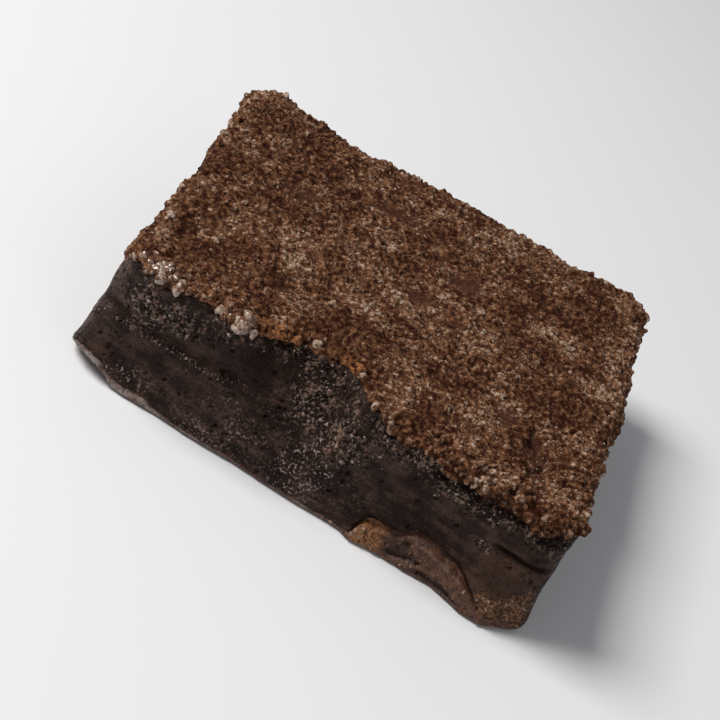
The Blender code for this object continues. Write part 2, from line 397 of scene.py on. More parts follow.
def cut(name, skin, keep, out, marks, cap):
    """A closed piece from the skin's points to keep, each moved out along its normal, with its marks.

    An open rim is closed by a shallow cone to the height cap, hidden inside the brownie, and a small rim
    or one in the flat base by a flat face.
    """
    mesh = skin.mesh.copy()
    mesh.name = name
    places = skin.co + skin.normal * out[:, None]
    places[:, 2] = np.maximum(places[:, 2], 0.0)
    mesh.vertices.foreach_set("co", places.astype(np.float32).ravel())
    for key, values in marks.items():
        layer = mesh.attributes.new(key, "FLOAT", "POINT")
        layer.data.foreach_set("value", np.asarray(values, np.float32))
    work = bmesh.new()
    work.from_mesh(mesh)
    bmesh.ops.delete(work, geom=[v for v, kept in zip(work.verts, keep) if not kept], context="VERTS")
    bmesh.ops.delete(work, geom=[v for v in work.verts if not v.link_faces], context="VERTS")
    border = [edge for edge in work.edges if edge.is_boundary]
    caps = bmesh.ops.holes_fill(work, edges=border, sides=0)["faces"]
    sunk = [face for face in caps
            if len(face.verts) > LONG_RIM and max(v.co.z for v in face.verts) > BASE_LEVEL]
    for vert in bmesh.ops.poke(work, faces=sunk)["verts"]:
        vert.co = (0.0, 0.0, cap)
    bmesh.ops.recalc_face_normals(work, faces=work.faces)
    work.to_mesh(mesh)
    work.free()
    mesh.shade_smooth()
    return show(name, mesh)


def show(name, mesh):
    """An object at the origin for a finished mesh."""
    piece = bpy.data.objects.new(name, mesh)
    bpy.context.scene.collection.objects.link(piece)
    return piece


def declare(piece):
    """The piece rides on the solid's body and stands for it."""
    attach(piece, BODY)
    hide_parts(NODE)


# ------------------------------------------------------------------------------------------ node trees

def new_tree(name, inputs):
    """A Geometry Nodes tree with a geometry and named inputs, as (name, socket type, default)."""
    tree = bpy.data.node_groups.new(name, "GeometryNodeTree")
    tree.interface.new_socket("Geometry", in_out="INPUT", socket_type="NodeSocketGeometry")
    for label, kind, default in inputs:
        socket = tree.interface.new_socket(label, in_out="INPUT", socket_type=kind)
        socket.default_value = default
    tree.interface.new_socket("Geometry", in_out="OUTPUT", socket_type="NodeSocketGeometry")
    return tree, add(tree, "NodeGroupInput").outputs


def end_tree(tree, geometry, material):
    """Ends a tree in Realize Instances and Set Material."""
    real = add(tree, "GeometryNodeRealizeInstances", {"Geometry": geometry})
    painted = add(tree, "GeometryNodeSetMaterial", {"Geometry": real.outputs[0], "Material": material})
    add(tree, "NodeGroupOutput", {"Geometry": painted.outputs[0]})


def apply_tree(piece, tree, values):
    """Runs a tree on a piece with values for its named inputs, and leaves the plain mesh that it makes."""
    modifier = piece.modifiers.new(tree.name, "NODES")
    modifier.node_group = tree
    for item in tree.interface.items_tree:
        if item.item_type == "SOCKET" and item.in_out == "INPUT" and item.name in values:
            modifier[item.identifier] = values[item.name]
    made = bpy.data.meshes.new_from_object(piece.evaluated_get(bpy.context.evaluated_depsgraph_get()))
    made.name = piece.name
    painted = made.materials[-1]
    made.materials.clear()
    made.materials.append(painted)
    made.polygons.foreach_set("material_index", np.zeros(len(made.polygons), np.int32))
    piece.modifiers.remove(modifier)
    piece.data = made
    return piece


def relief_sizes(settings):
    """What a group of settings gives the inputs of the relief tree."""
    return {label: getattr(settings, setting(label)) for label in RELIEF}


def relief_tree(name, material):
    """Grains that stand out of a surface, lumps under them, and sparse pits.

    The marks grainy, lumpy and pitted, each from 0 to 1, say where. The mark dome keeps how high a point
    lies on its grain, for the colour: lighter on the crests and darker in the dips between grains, as
    painted light and shade. A second mark keeps how deep each pit is, for painted shade in the pits.
    """
    tree, given = new_tree(name, [(label, "NodeSocketFloat", 1.0 * MM) for label in RELIEF])
    marks = {key: add(tree, "GeometryNodeInputNamedAttribute", {"Name": key}, data_type="FLOAT").outputs[0]
             for key in ("grainy", "lumpy", "pitted")}
    per = {label: add(tree, "ShaderNodeMath", {0: 1.0, 1: given[label]}, operation="DIVIDE").outputs[0]
           for label in ("Grain", "Lump", "Pit")}
    place = add(tree, "GeometryNodeInputPosition").outputs[0]
    wobble = add(tree, "ShaderNodeTexNoise", {"Vector": place, "Scale": per["Grain"], "Detail": 2.0})
    nudge = add(tree, "ShaderNodeVectorMath", {0: wobble.outputs["Color"], 3: WOBBLE}, operation="SCALE")
    moved = add(tree, "ShaderNodeVectorMath", {0: place, 1: nudge.outputs[0]}, operation="ADD").outputs[0]

    cell = add(tree, "ShaderNodeTexVoronoi", {"Vector": moved, "Scale": per["Grain"], "Randomness": 1.0})
    dome = add(tree, "ShaderNodeMapRange", {"Value": cell.outputs["Distance"], "From Min": 0.75,
                                            "From Max": 0.1}, interpolation_type="SMOOTHSTEP").outputs[0]
    swell = add(tree, "ShaderNodeTexNoise", {"Vector": place, "Scale": per["Lump"], "Detail": 4.0,
                                             "Roughness": 0.6})
    lump = add(tree, "ShaderNodeMath", {0: swell.outputs[0], 1: 0.62}, operation="SUBTRACT").outputs[0]
    hole = add(tree, "ShaderNodeTexVoronoi", {"Vector": moved, "Scale": per["Pit"], "Randomness": 1.0})
    deep = add(tree, "ShaderNodeMapRange", {"Value": hole.outputs["Distance"], "From Min": 0.45,
                                            "From Max": 0.1}, interpolation_type="SMOOTHSTEP").outputs[0]
    pick = add(tree, "FunctionNodeSeparateColor", {0: hole.outputs["Color"]}).outputs[0]
    some = add(tree, "ShaderNodeMath", {0: pick, 1: marks["pitted"]}, operation="LESS_THAN").outputs[0]

    heights = []
    for shape, label, where in (
            (dome, "Grain height", marks["grainy"]), (lump, "Lump height", marks["lumpy"]),
            (deep, "Pit depth", some)):
        full = add(tree, "ShaderNodeMath", {0: shape, 1: given[label]}, operation="MULTIPLY").outputs[0]
        heights.append(add(tree, "ShaderNodeMath", {0: full, 1: where}, operation="MULTIPLY").outputs[0])
    rise = add(tree, "ShaderNodeMath", {0: heights[0], 1: heights[1]}, operation="ADD").outputs[0]
    rise = add(tree, "ShaderNodeMath", {0: rise, 1: heights[2]}, operation="SUBTRACT").outputs[0]
    outward = add(tree, "GeometryNodeInputNormal").outputs[0]
    offset = add(tree, "ShaderNodeVectorMath", {0: outward, 3: rise}, operation="SCALE").outputs[0]
    raised = add(tree, "GeometryNodeSetPosition", {"Geometry": given["Geometry"], "Offset": offset})
    made = raised.outputs[0]
    # how deep a pit is where there is one, kept for painted shade in the pits
    hollow = add(tree, "ShaderNodeMath", {0: deep, 1: some}, operation="MULTIPLY").outputs[0]
    for key, value in (("dome", dome), ("hollow", hollow)):
        made = add(tree, "GeometryNodeStoreNamedAttribute", {"Geometry": made, "Name": key, "Value": value},
                   data_type="FLOAT", domain="POINT").outputs[0]
    end_tree(tree, made, material)
    return tree


def scatter_tree(name, material, faces):
    """Grains scattered over a surface where its mark strewn says, each turned and stretched its own way.

    A grain has 8, 20 or, where it is smooth, 80 faces. Thin is the share that is left on the darker patches.
    """
    tree, given = new_tree(name, (
        ("Spacing", "NodeSocketFloat", 0.6 * MM), ("Radius", "NodeSocketFloat", 0.3 * MM),
        ("Sunk", "NodeSocketFloat", 0.3), ("Thin", "NodeSocketFloat", 0.3), ("Seed", "NodeSocketInt", 1)))
    radius, seed = given["Radius"], given["Seed"]
    place = add(tree, "GeometryNodeInputPosition").outputs[0]
    patch = add(tree, "ShaderNodeTexNoise", {"Vector": place, "Scale": 1.0 / PATCH, **MOTTLE})
    share = add(tree, "ShaderNodeMapRange", {"Value": patch.outputs[0], "From Min": 0.40, "From Max": 0.56,
                                             "To Min": given["Thin"]}, interpolation_type="SMOOTHSTEP")
    where = add(tree, "GeometryNodeInputNamedAttribute", {"Name": "strewn"}, data_type="FLOAT").outputs[0]
    factor = add(tree, "ShaderNodeMath", {0: where, 1: share.outputs[0]}, operation="MULTIPLY")
    sown = add(tree, "GeometryNodeDistributePointsOnFaces",
               {"Mesh": given["Geometry"], "Distance Min": given["Spacing"], "Density Max": DENSEST,
                "Density Factor": factor.outputs[0], "Seed": seed}, distribute_method="POISSON")
    size = add(tree, "FunctionNodeRandomValue", {2: 0.4, 3: 1.0, "Seed": seed}, data_type="FLOAT").outputs[1]
    size = add(tree, "ShaderNodeMath", {0: size, 1: radius}, operation="MULTIPLY").outputs[0]
    down = add(tree, "ShaderNodeMath", {0: size, 1: given["Sunk"]}, operation="MULTIPLY").outputs[0]
    down = add(tree, "ShaderNodeMath", {0: down, 1: -1.0}, operation="MULTIPLY").outputs[0]
    sink = add(tree, "ShaderNodeVectorMath", {0: sown.outputs["Normal"], 3: down}, operation="SCALE")
    set_in = add(tree, "GeometryNodeSetPosition", {"Geometry": sown.outputs["Points"],
                                                   "Offset": sink.outputs[0]})
    turn = add(tree, "FunctionNodeRandomValue", {"Max": (ALL_ROUND,) * 3, "Seed": seed},
               data_type="FLOAT_VECTOR")
    stretch = add(tree, "FunctionNodeRandomValue", {"Min": (0.7, 0.6, 0.5), "Max": (1.3, 1.1, 0.9),
                                                    "Seed": seed}, data_type="FLOAT_VECTOR")
    scale = add(tree, "ShaderNodeVectorMath", {0: stretch.outputs[0], 3: size}, operation="SCALE")
    if faces == 8:
        grain = add(tree, "GeometryNodeMeshUVSphere", {"Radius": 1.0, "Segments": 4, "Rings": 2})
    else:
        grain = add(tree, "GeometryNodeMeshIcoSphere", {"Radius": 1.0, "Subdivisions": 1 + (faces == 80)})
    grain = add(tree, "GeometryNodeSetShadeSmooth", {"Geometry": grain.outputs[0],
                                                     "Shade Smooth": faces == 80})
    strewn = add(tree, "GeometryNodeInstanceOnPoints",
                 {"Points": set_in.outputs[0], "Instance": grain.outputs[0], "Rotation": turn.outputs[0],
                  "Scale": scale.outputs[0]})
    tone = add(tree, "FunctionNodeRandomValue", {"Seed": seed}, data_type="FLOAT")
    toned = add(tree, "GeometryNodeStoreNamedAttribute",
                {"Geometry": strewn.outputs[0], "Name": "tone", "Value": tone.outputs[1]},
                data_type="FLOAT", domain="INSTANCE")
    real = add(tree, "GeometryNodeRealizeInstances", {"Geometry": toned.outputs[0]})
    fineness = add(tree, "ShaderNodeMath", {0: 0.8, 1: radius}, operation="DIVIDE").outputs[0]
    dents = add(tree, "ShaderNodeTexNoise", {"Vector": place, "Scale": fineness, "Detail": 1.0})
    centred = add(tree, "ShaderNodeVectorMath", {0: dents.outputs["Color"], 1: (0.5, 0.5, 0.5)},
                  operation="SUBTRACT")
    dented = add(tree, "ShaderNodeMath", {0: radius, 1: 1.7}, operation="MULTIPLY").outputs[0]
    bent = add(tree, "ShaderNodeVectorMath", {0: centred.outputs[0], 3: dented}, operation="SCALE")
    uneven = add(tree, "GeometryNodeSetPosition", {"Geometry": real.outputs[0], "Offset": bent.outputs[0]})
    end_tree(tree, uneven.outputs[0], material)
    return tree


# ------------------------------------------------------------------------------------------ materials

def new_material(name, *keys):
    """A material with its tree, its shader, the object's coordinates and the mesh's marks that it reads."""
    material = bpy.data.materials.new(name)
    material.use_nodes = True
    tree = material.node_tree
    marks = {key: add(tree, "ShaderNodeAttribute", attribute_name=key).outputs["Fac"] for key in keys}
    place = add(tree, "ShaderNodeTexCoord").outputs["Object"]
    return material, tree, tree.nodes["Principled BSDF"], place, marks


def lay(tree, body, tint, *shares):
    """Lays a tint over a colour, as strongly as its shares multiplied.

    A share is a number, an output, or an output with the values at which it counts for nothing and for all.
    """
    strength = 1.0
    for share in shares:
        if isinstance(share, tuple):
            field, none, full = share
            share = add(tree, "ShaderNodeMapRange", {"Value": field, "From Min": none, "From Max": full},
                        interpolation_type="SMOOTHSTEP").outputs[0]
        strength = add(tree, "ShaderNodeMath", {0: share, 1: strength}, operation="MULTIPLY").outputs[0]
    return add(tree, "ShaderNodeMix", {0: strength, 6: body, 7: tint}, data_type="RGBA").outputs[2]


def shade(tree, place, tone, fields, patchy, stops):
    """Colours along the stops, from a tone to which fields times their shares and soft patches are added.

    The patches come in several sizes and are the same on the crust and on its grains.
    """
    patch = add(tree, "ShaderNodeTexNoise", {"Vector": place, "Scale": 1.0 / PATCH, **MOTTLE}).outputs[0]
    tone -= 2.5 * patchy  # the patches lie about 0.5, so they leave the mean as it is
    for field, share in (*fields, (patch, 5.0 * patchy)):
        tone = add(tree, "ShaderNodeMath", {0: field, 1: share, 2: tone},
                   operation="MULTIPLY_ADD").outputs[0]
    ramp = add(tree, "ShaderNodeValToRGB", {0: tone})
    elements = ramp.color_ramp.elements
    while len(elements) < len(stops):
        elements.new(1.0)
    for element, (position, tint) in zip(elements, stops):
        element.position, element.color = position, tint
    return ramp.outputs[0]


def crust_material(crust):
    """Baked brownie crust: a dry, matt film of sugar and crumb, brown on its grains, shade painted between
    them.
    """
    material, tree, shader, place, marks = new_material(
        "baked brownie crust", "dome", "shiny", "film", "toasted", "hollow")
    # The sugar in the crust is about 0.3 mm across; it is drawn at 0.7 mm, in clumps, so that it shows
    fine = add(tree, "ShaderNodeTexNoise", {"Vector": place, "Scale": 1.0 / (0.7 * MM),
                                            "Detail": 3.0}).outputs[0]
    # the grain's height adds to the tone, so the crust is painted darker between its grains as shade; the
    # fine noise and the patches are its own uneven colour
    body = shade(tree, place, -1.15, ((marks["dome"], 0.25), (fine, 2.8)), 0.42,
                 ((0.0, crust.hollow), (0.45, crust.brown), (0.75, crust.warm), (1.0, crust.pale)))
    body = lay(tree, body, crust.toasted, marks["toasted"], (fine, 0.38, 0.58), 0.8)
    # the bare film's own darker brown, which in the valley is a painted shade
    body = lay(tree, body, crust.film, marks["film"], 0.8)
    # painted shade in the pits
    body = lay(tree, body, crust.hollow, marks["hollow"])
    dry = add(tree, "ShaderNodeMath", {0: marks["shiny"], 1: -0.6, 2: 0.85}, operation="MULTIPLY_ADD")
    relief = add(tree, "ShaderNodeBump", {"Strength": 1.0, "Distance": 0.4 * MM, "Height": fine})
    feed(tree, shader, {"Base Color": body, "Roughness": dry.outputs[0], "Specular IOR Level": 0.15,
                        "IOR": 1.45, "Normal": relief.outputs[0]})
    return material


def grain_material(name, dark, middle, light, patchy, roughness, specular, bump=0.8):
    """Crumb grains, dry, moist or glazed: each its own brown, from dark cocoa to pale where sugar dried."""
    material, tree, shader, place, marks = new_material(name, "tone")
    # Flour and cocoa are far finer than 0.1 mm; they are drawn at 0.5 mm, so that a grain isn't one colour
    fine = add(tree, "ShaderNodeTexNoise", {"Vector": place, "Scale": 1.0 / (0.5 * MM),
                                            "Detail": 3.0}).outputs[0]
    body = shade(tree, place, -0.6, ((marks["tone"], 0.6), (fine, 1.6)), patchy,
                 ((0.05, dark), (0.55, middle), (1.0, light)))
    relief = add(tree, "ShaderNodeBump", {"Strength": bump, "Distance": 0.3 * MM, "Height": fine})
    feed(tree, shader, {"Base Color": body, "Roughness": roughness, "Specular IOR Level": specular,
                        "IOR": 1.48, "Normal": relief.outputs[0]})
    return material


def crumb_material(crumb):
    """Dense fudge crumb, sliced: nearly black, close and a little moist, with a soft broken sheen."""
    material, tree, shader, place, marks = new_material(
        "dense fudge crumb", "dome", "crumbly", "worn", "toe", "speckled", "hollow", "deep")
    patterns = []
    for size, detail, scale in (
            (3.0, 5.0, (1.0, 1.0, 1.0)),  # clouds where the crumb is denser or more open
            (1.2, 3.0, (0.22, 0.22, 1.0)),  # the knife's pull along the cut
            (0.4, 4.0, (1.0, 1.0, 1.0)),  # crumb, as coarse as it needs to be to show
            (1.1, 3.0, (1.0, 1.0, 0.35)),  # torn crumb comes away in ribs that stand upright
            (0.5, 2.0, (1.0, 1.0, 1.0))):  # moister and drier spots
        turned = add(tree, "ShaderNodeMapping", {"Vector": place, "Scale": scale}).outputs[0]
        patterns.append(add(tree, "ShaderNodeTexNoise", {"Vector": turned, "Scale": 1.0 / (size * MM),
                                                         "Detail": detail}).outputs[0])
    clouds, smear, fine, torn, damp = patterns
    smear = add(tree, "ShaderNodeMath", {0: smear, 1: 0.4}, operation="MULTIPLY").outputs[0]
    clouds = add(tree, "ShaderNodeMath", {0: clouds, 1: 0.6, 2: smear}, operation="MULTIPLY_ADD").outputs[0]
    ribs = add(tree, "ShaderNodeMath", {0: fine, 1: torn}, operation="ADD").outputs[0]
    # higher on the crests of grains and torn ribs: the paler colours laid there are partly the crumb's own
    # and partly a painted highlight
    tops_with_painted_light = add(tree, "ShaderNodeMath", {0: marks["dome"], 1: 0.2, 2: ribs},
               operation="MULTIPLY_ADD").outputs[0]
    body = lay(tree, crumb.dark, crumb.light, (clouds, 0.40, 0.64))
    broken = lay(tree, crumb.dark, crumb.broken, (tops_with_painted_light, 1.05, 1.38))
    browned = lay(tree, crumb.worn, crumb.toe, (tops_with_painted_light, 0.93, 1.42))
    # The pits' mark and deep lay painted shade in the pits, the fold, the gap above the lip and the holes
    # under the crust; deep also lays the sliced place's own darker colour
    for tint, *shares in ((broken, marks["crumbly"]), (crumb.worn, marks["worn"]), (browned, marks["toe"]),
                          (crumb.dark, (fine, 0.48, 0.34), 0.8),
                          # speckled lays fine pale specks, and along the seam a painted row of glints
                          (crumb.speck, (fine, 0.55, 0.67), marks["speckled"]),
                          (crumb.dark, marks["hollow"]), (crumb.dark, marks["deep"])):
        body = lay(tree, body, tint, *shares)
    rough = add(tree, "ShaderNodeMapRange", {"Value": damp, "From Min": 0.35, "From Max": 0.65,
                                             "To Min": 0.30, "To Max": 0.75})
    relief = add(tree, "ShaderNodeBump", {"Strength": 1.0, "Distance": 0.35 * MM, "Height": fine})
    feed(tree, shader, {"Base Color": body, "Roughness": rough.outputs[0], "Specular IOR Level": 0.15,
                        "IOR": 1.45, "Normal": relief.outputs[0]})
    return material


def base_skin_material(base):
    """Tray-baked skin: thin, leathery and dry, brown, with a pale edge partly its own and partly a painted
    sheen.
    """
    material, tree, shader, place, marks = new_material(
        "tray-baked skin", "toasted", "ridge", "pale", "shaded")
    blots, fine = (add(tree, "ShaderNodeTexNoise", {"Vector": place, "Scale": 1.0 / (size * MM),
                                                    "Detail": detail}).outputs[0]
                   for size, detail in ((0.9, 4.0), (0.6, 3.0)))  # grease spots, and the tray's fine grain
    uneven = add(tree, "ShaderNodeMapRange", {"Value": blots, "From Min": 0.34, "From Max": 0.60,
                                              "To Min": 0.45}, interpolation_type="SMOOTHSTEP").outputs[0]
    body = lay(tree, base.dark, base.brown, uneven)
    # pale lays the pale rim, partly the skin's own colour and partly a painted sheen; shaded lays painted
    # shade under the lip's edge
    for tint, *shares in ((base.toasted, marks["toasted"]), (base.ridge, marks["ridge"]),
                          (base.edge, marks["pale"]), (base.dark, marks["shaded"]),
                          (base.dark, (fine, 0.50, 0.36), 0.7)):
        body = lay(tree, body, tint, *shares)
    relief = add(tree, "ShaderNodeBump", {"Strength": 1.0, "Distance": 0.3 * MM, "Height": fine})
    feed(tree, shader, {"Base Color": body, "Roughness": 0.55, "IOR": 1.45, "Normal": relief.outputs[0]})
    return material


def floor_material(stage):
    """Matt painted board: one pale, even colour, very slightly clouded by the roller."""
    material, tree, shader, place, _ = new_material("matt painted board")
    cloud = add(tree, "ShaderNodeTexNoise", {"Vector": place, "Scale": 1.0 / (60.0 * MM)}).outputs[0]
    duller = tuple(0.985 * c for c in stage.floor[:3]) + (1.0,)
    feed(tree, shader, {"Base Color": lay(tree, duller, stage.floor, (cloud, 0.0, 1.0)), "Roughness": 0.7})
    return material


# ------------------------------------------------------------------------------------------ pieces

def crumbly(skin, below):
    """Where the crumb is broken and granular instead of cleanly sliced, from 0 to 1."""
    wide = noise_at(skin.co, 5.0 * MM, 7.7, octaves=2)
    on_left = 1.0 - smooth(skin.x, -22.0, -10.0)
    clotted = smooth(wide - 0.45 * on_left, -0.6, 0.1)
    under_crust = bell(below - 1.3 * MM, (1.7 + 1.2 * on_left) * MM) * clotted
    under_crust *= 0.4 + 0.6 * skin.front
    sides = (1.0 - skin.front) * smooth(wide, 0.0, 0.6) * 0.35
    front = skin.front * spots(skin.x + 1.5 * wide, skin.z + wide, BROKEN)
    clean = skin.front * spots(skin.x + wide, skin.z + wide, CLEAN)
    return np.clip(0.85 * under_crust + front + sides, 0.0, 1.0) * (1.0 - 0.95 * clean) * skin.standing


def toe_mark(skin):
    """Where the browned toe of the front right corner is, from 0 to 1."""
    wander = noise_at(skin.co, 4.0 * MM, 2.9, octaves=2)
    height = skin.z - 0.45 * (skin.x - 27.0) + wander  # its upper edge rises to the right
    return skin.front * smooth(skin.x, 26.5, 29.0) * (1.0 - smooth(height, 3.0, 4.8))


def fold_mark(skin):
    """Where the fold across the right of the front face is, from 0 to 1."""
    height, left = FOLD
    over = skin.z - height + 0.15 * noise_at(skin.co, 4.0 * MM, 1.7)
    return bell(over, 0.32) * smooth(skin.x, left - 0.5, left + 2.0) * skin.front


def seam_marks(skin, patchy):
    """Where the broken line between two layers of the front is, and where the upper one steps back."""
    height, right = SEAM
    rise = 1.3 * smooth(skin.x, right - 6.0, right + 2.0)
    over = skin.z - height - rise + 0.3 * patchy
    along = skin.front * (1.0 - smooth(skin.x, right - 4.0, right + 2.0))
    line = bell(over, 0.22) * along * smooth(patchy, -0.8, -0.1)
    return line, along * smooth(over, -0.1, 0.3) * (1.0 - smooth(over, 0.6, 3.5))


def speck_mark(skin, grainy):
    """Where fine pale specks lie, from 0 to 1: in places of the front, and in patches on the other sides."""
    wide = noise_at(skin.co, 6.0 * MM, 9.4, octaves=2)
    dense = 0.5 + skin.front * (spots(skin.x + 2.0 * wide, skin.z + 1.5 * wide, SPECKLED) - 0.5)
    return np.clip((0.2 + 0.8 * smooth(wide, -0.3, 0.4)) * (0.15 + 0.85 * grainy) * dense, 0.0, 1.0)


class BROWNIE_OT_crumb(bpy.types.Operator):
    """Makes the dense crumb of the cut sides"""

    bl_idname = "brownie.crumb"
    bl_label = "Dense crumb"

    def execute(self, context):
        skin, crumb = fine_skin(), context.scene.brownie_crumb
        below = skin.down - crust_hang(skin, context.scene.brownie_crust)
        reach, on_lip = skin_reach(skin, context.scene.brownie_base)
        above = skin.up - reach
        under_crust = 1.0 - smooth(below, -0.8 * MM, 0.2 * MM)
        under_skin = 1.0 - smooth(above, -0.6 * MM, 0.1 * MM)
        seen = (1.0 - under_crust) * (1.0 - under_skin)

        patchy = noise_at(skin.co, 2.5 * MM, 5.5, octaves=2)
        rough, toe, fold = crumbly(skin, below), toe_mark(skin), fold_mark(skin)
        seam, step = seam_marks(skin, patchy)
        gap = bell(above - 0.5 * MM, 0.6 * MM) * on_lip
        more_at_right = 0.25 * smooth(skin.x, 12.0, 20.0)
        holes = bell(below - 0.55 * MM, 0.65 * MM) * smooth(patchy + more_at_right, -0.05, 0.45)
        out = -crumb.recess * (0.4 + 0.6 * under_crust) - UNDER_CRUST * MM * under_crust \
            - UNDER_SKIN * MM * under_skin - crumb.crease * fold - STEP_DEPTH * MM * step \
            - GAP_DEPTH * MM * gap - HOLE_DEPTH * MM * holes

        smooth_right = skin.front * smooth(skin.x, 5.0, 14.0) * (1.0 - rough) * (1.0 - toe)
        specks = speck_mark(skin, 1.0 - smooth_right)
        below_fold = 1.0 - smooth(skin.z, FOLD[0] - 0.8, FOLD[0])
        sliced = 0.8 * skin.front * spots(skin.x + patchy, skin.z + patchy, CLEAN)
        moist = rough * skin.front * smooth(patchy, -0.3, 0.4) * (1.0 - smooth(skin.x, 6.0, 12.0)) * seen
        uneven = np.maximum(rough, toe)
        piece = cut("crumb", skin, (skin.down > -LAP) & (skin.up > -LAP), out, {
            "crumbly": rough,
            "toe": toe,
            # a paler crumb low on the right, below the fold
            "worn": 0.5 * skin.front * smooth(skin.x, 22.0, 29.0) * below_fold,
            # pale specks, and along the seam a painted row of glints
            "speckled": np.maximum(specks, seam),
            # painted shade in the fold, the gap above the lip and the holes under the crust; the sliced
            # place is darker in its own colour
            "deep": np.clip(fold + gap + holes + sliced, 0.0, 1.0),
            "grainy": 0.15 + 0.85 * uneven,
            "lumpy": 0.12 + 0.88 * uneven,
            "pitted": (0.03 + 0.10 * (1.0 - smooth_right) + 0.6 * rough) * (1.0 - 0.5 * toe),
            "strewn": rough * (1.0 - toe) * (1.0 - 0.6 * moist) * seen,
            "browned": toe * seen,
            "specked": specks * seen,
            "seam": seam * seen,
            "moist": moist}, CRUMB_CAP)
        apply_tree(piece, relief_tree("crumb relief", crumb_material(crumb)), relief_sizes(crumb))
        declare(piece)
        return {"FINISHED"}


class BROWNIE_OT_crust(bpy.types.Operator):
    """Makes the baked crust of the top"""

    bl_idname = "brownie.crust"
    bl_label = "Baked crust"

    def execute(self, context):
        skin, crust = fine_skin(), context.scene.brownie_crust
        past = skin.down - crust_hang(skin, crust)
        tuck = smooth(past, -0.3 * MM, LAP)
        shift = noise_at(skin.co, 3.0 * MM, 8.8, octaves=3)
        x, y = skin.x + 1.5 * shift, skin.y + 1.2 * shift
        wet, film, toasted, valley = (spots(x, y, WET), spots(x, y, FILM), spots(x, y, TOASTED),
                                      spots(x, skin.y, VALLEY))
        from_shelf = past + 2.2 * MM + 0.8 * MM * shift
        shelf = bell(from_shelf, 0.35 * MM) * smooth(shift, -0.1, 0.3) * skin.standing
        proud = bell(past + 0.7 * MM, 0.7 * MM) * smooth(skin.down, -0.5 * MM, 0.5 * MM)
        out = (CRUST_PROUD * proud - CRUST_SET_IN - CRUST_TUCK * tuck - FILM_DEPTH * film
               - SHELF_DEPTH * shelf - VALLEY_DEPTH * valley) * MM

        grown = 1.0 - tuck
        bare = np.maximum(film, wet)
        strewn = (past < 0.1 * MM) * (1.0 - 0.95 * bare) * (1.0 - 0.55 * toasted) * (1.0 - 0.6 * valley)
        level = np.maximum(smooth(skin.normal[:, 2], 0.75, 0.97), 0.8 * skin.front)
        rim = smooth(past, -2.6 * MM, -1.2 * MM) * (past < -0.1 * MM)
        near_rim = smooth(past, -4.0 * MM, -2.0 * MM) * skin.front
        piece = cut("crust", skin, past < LAP, out, {
            "edge": rim * (0.15 + 0.85 * skin.front) * 0.6,
            "grainy": grown * (1.0 - 0.8 * film),
            "lumpy": grown * (1.0 - 0.5 * film),
            "pitted": (0.08 + 0.5 * near_rim) * grown * (1.0 - film),
            "shiny": wet,
            # the bare film's own darker brown, and in the valley a painted shade
            "film": np.maximum(film, valley),
            "toasted": toasted,
            "strewn": strewn,
            "clotted": strewn * level}, CRUST_CAP)
        apply_tree(piece, relief_tree("crust relief", crust_material(crust)), relief_sizes(crust))
        declare(piece)
        return {"FINISHED"}


class BROWNIE_OT_base_skin(bpy.types.Operator):
    """Makes the thin skin of the base, with its curled lip"""

    bl_idname = "brownie.base_skin"
    bl_label = "Base skin"

    def execute(self, context):
        skin, base = fine_skin(), context.scene.brownie_base
        left, right = LIP
        reach, on_lip = skin_reach(skin, base)
        past = skin.up - reach
        tuck = smooth(past, -0.15 * MM, 0.9 * MM)
        uneven = noise_at(skin.co, 3.2 * MM, 4.9, octaves=2)
        ridge = on_lip * bell(past + 0.55 * MM, 0.55 * MM) * smooth(uneven, -0.9, 0.2) \
            * smooth(skin.x, left + 4.0, left + 7.0) * (1.0 - smooth(skin.x, right - 9.0, right - 4.0))
        under = skin.front * spots(skin.x + uneven, skin.z + 0.8 * uneven, UNDER_LIP)
        out = base.curl * ridge - HOLLOW_DEPTH * MM * under - SKIN_SET_IN * MM - SKIN_TUCK * MM * tuck

        flat_middle = (skin.z < 0.1) & (np.abs(skin.co[:, 0]) < BASE_KEPT * SIZE.x) \
            & (np.abs(skin.co[:, 1]) < BASE_KEPT * SIZE.y)
        seen = (1.0 - tuck) * skin.standing
        browned = skin.front * smooth(skin.x, 2.0, 10.0)
        # the pale rim just above the base: partly the skin's own colour, partly a painted sheen
        pale_rim_and_sheen = smooth(skin.up, -0.3 * MM, 0.3 * MM) * smooth(uneven, -0.8, 0.3) \
            * (1.0 - 0.6 * smooth(past, -0.6 * MM, -0.1 * MM))
        toasted = on_lip * (1.0 - smooth(skin.x + uneven, left + 3.0, left + 5.5))
        piece = cut("base_skin", skin, (past < LAP) & ~flat_middle, out, {
            "grainy": (0.3 + 0.7 * toasted) * seen,
            "lumpy": (1.0 - 0.3 * ridge) * seen,
            "pitted": 0.15 * on_lip * (1.0 - ridge) * seen,
            # painted sheen, with the skin's own paler colour, along the rim
            "pale": (1.0 - np.maximum(on_lip, browned)) * pale_rim_and_sheen,
            "ridge": ridge,
            "shaded": 0.85 * under,
            "strewn": (past < 0.0) * browned * np.maximum(toasted, 0.7 - 0.6 * ridge) * seen,
            "toasted": toasted}, BASE_CAP)
        apply_tree(piece, relief_tree("skin relief", base_skin_material(base)), relief_sizes(base))
        declare(piece)
        return {"FINISHED"}


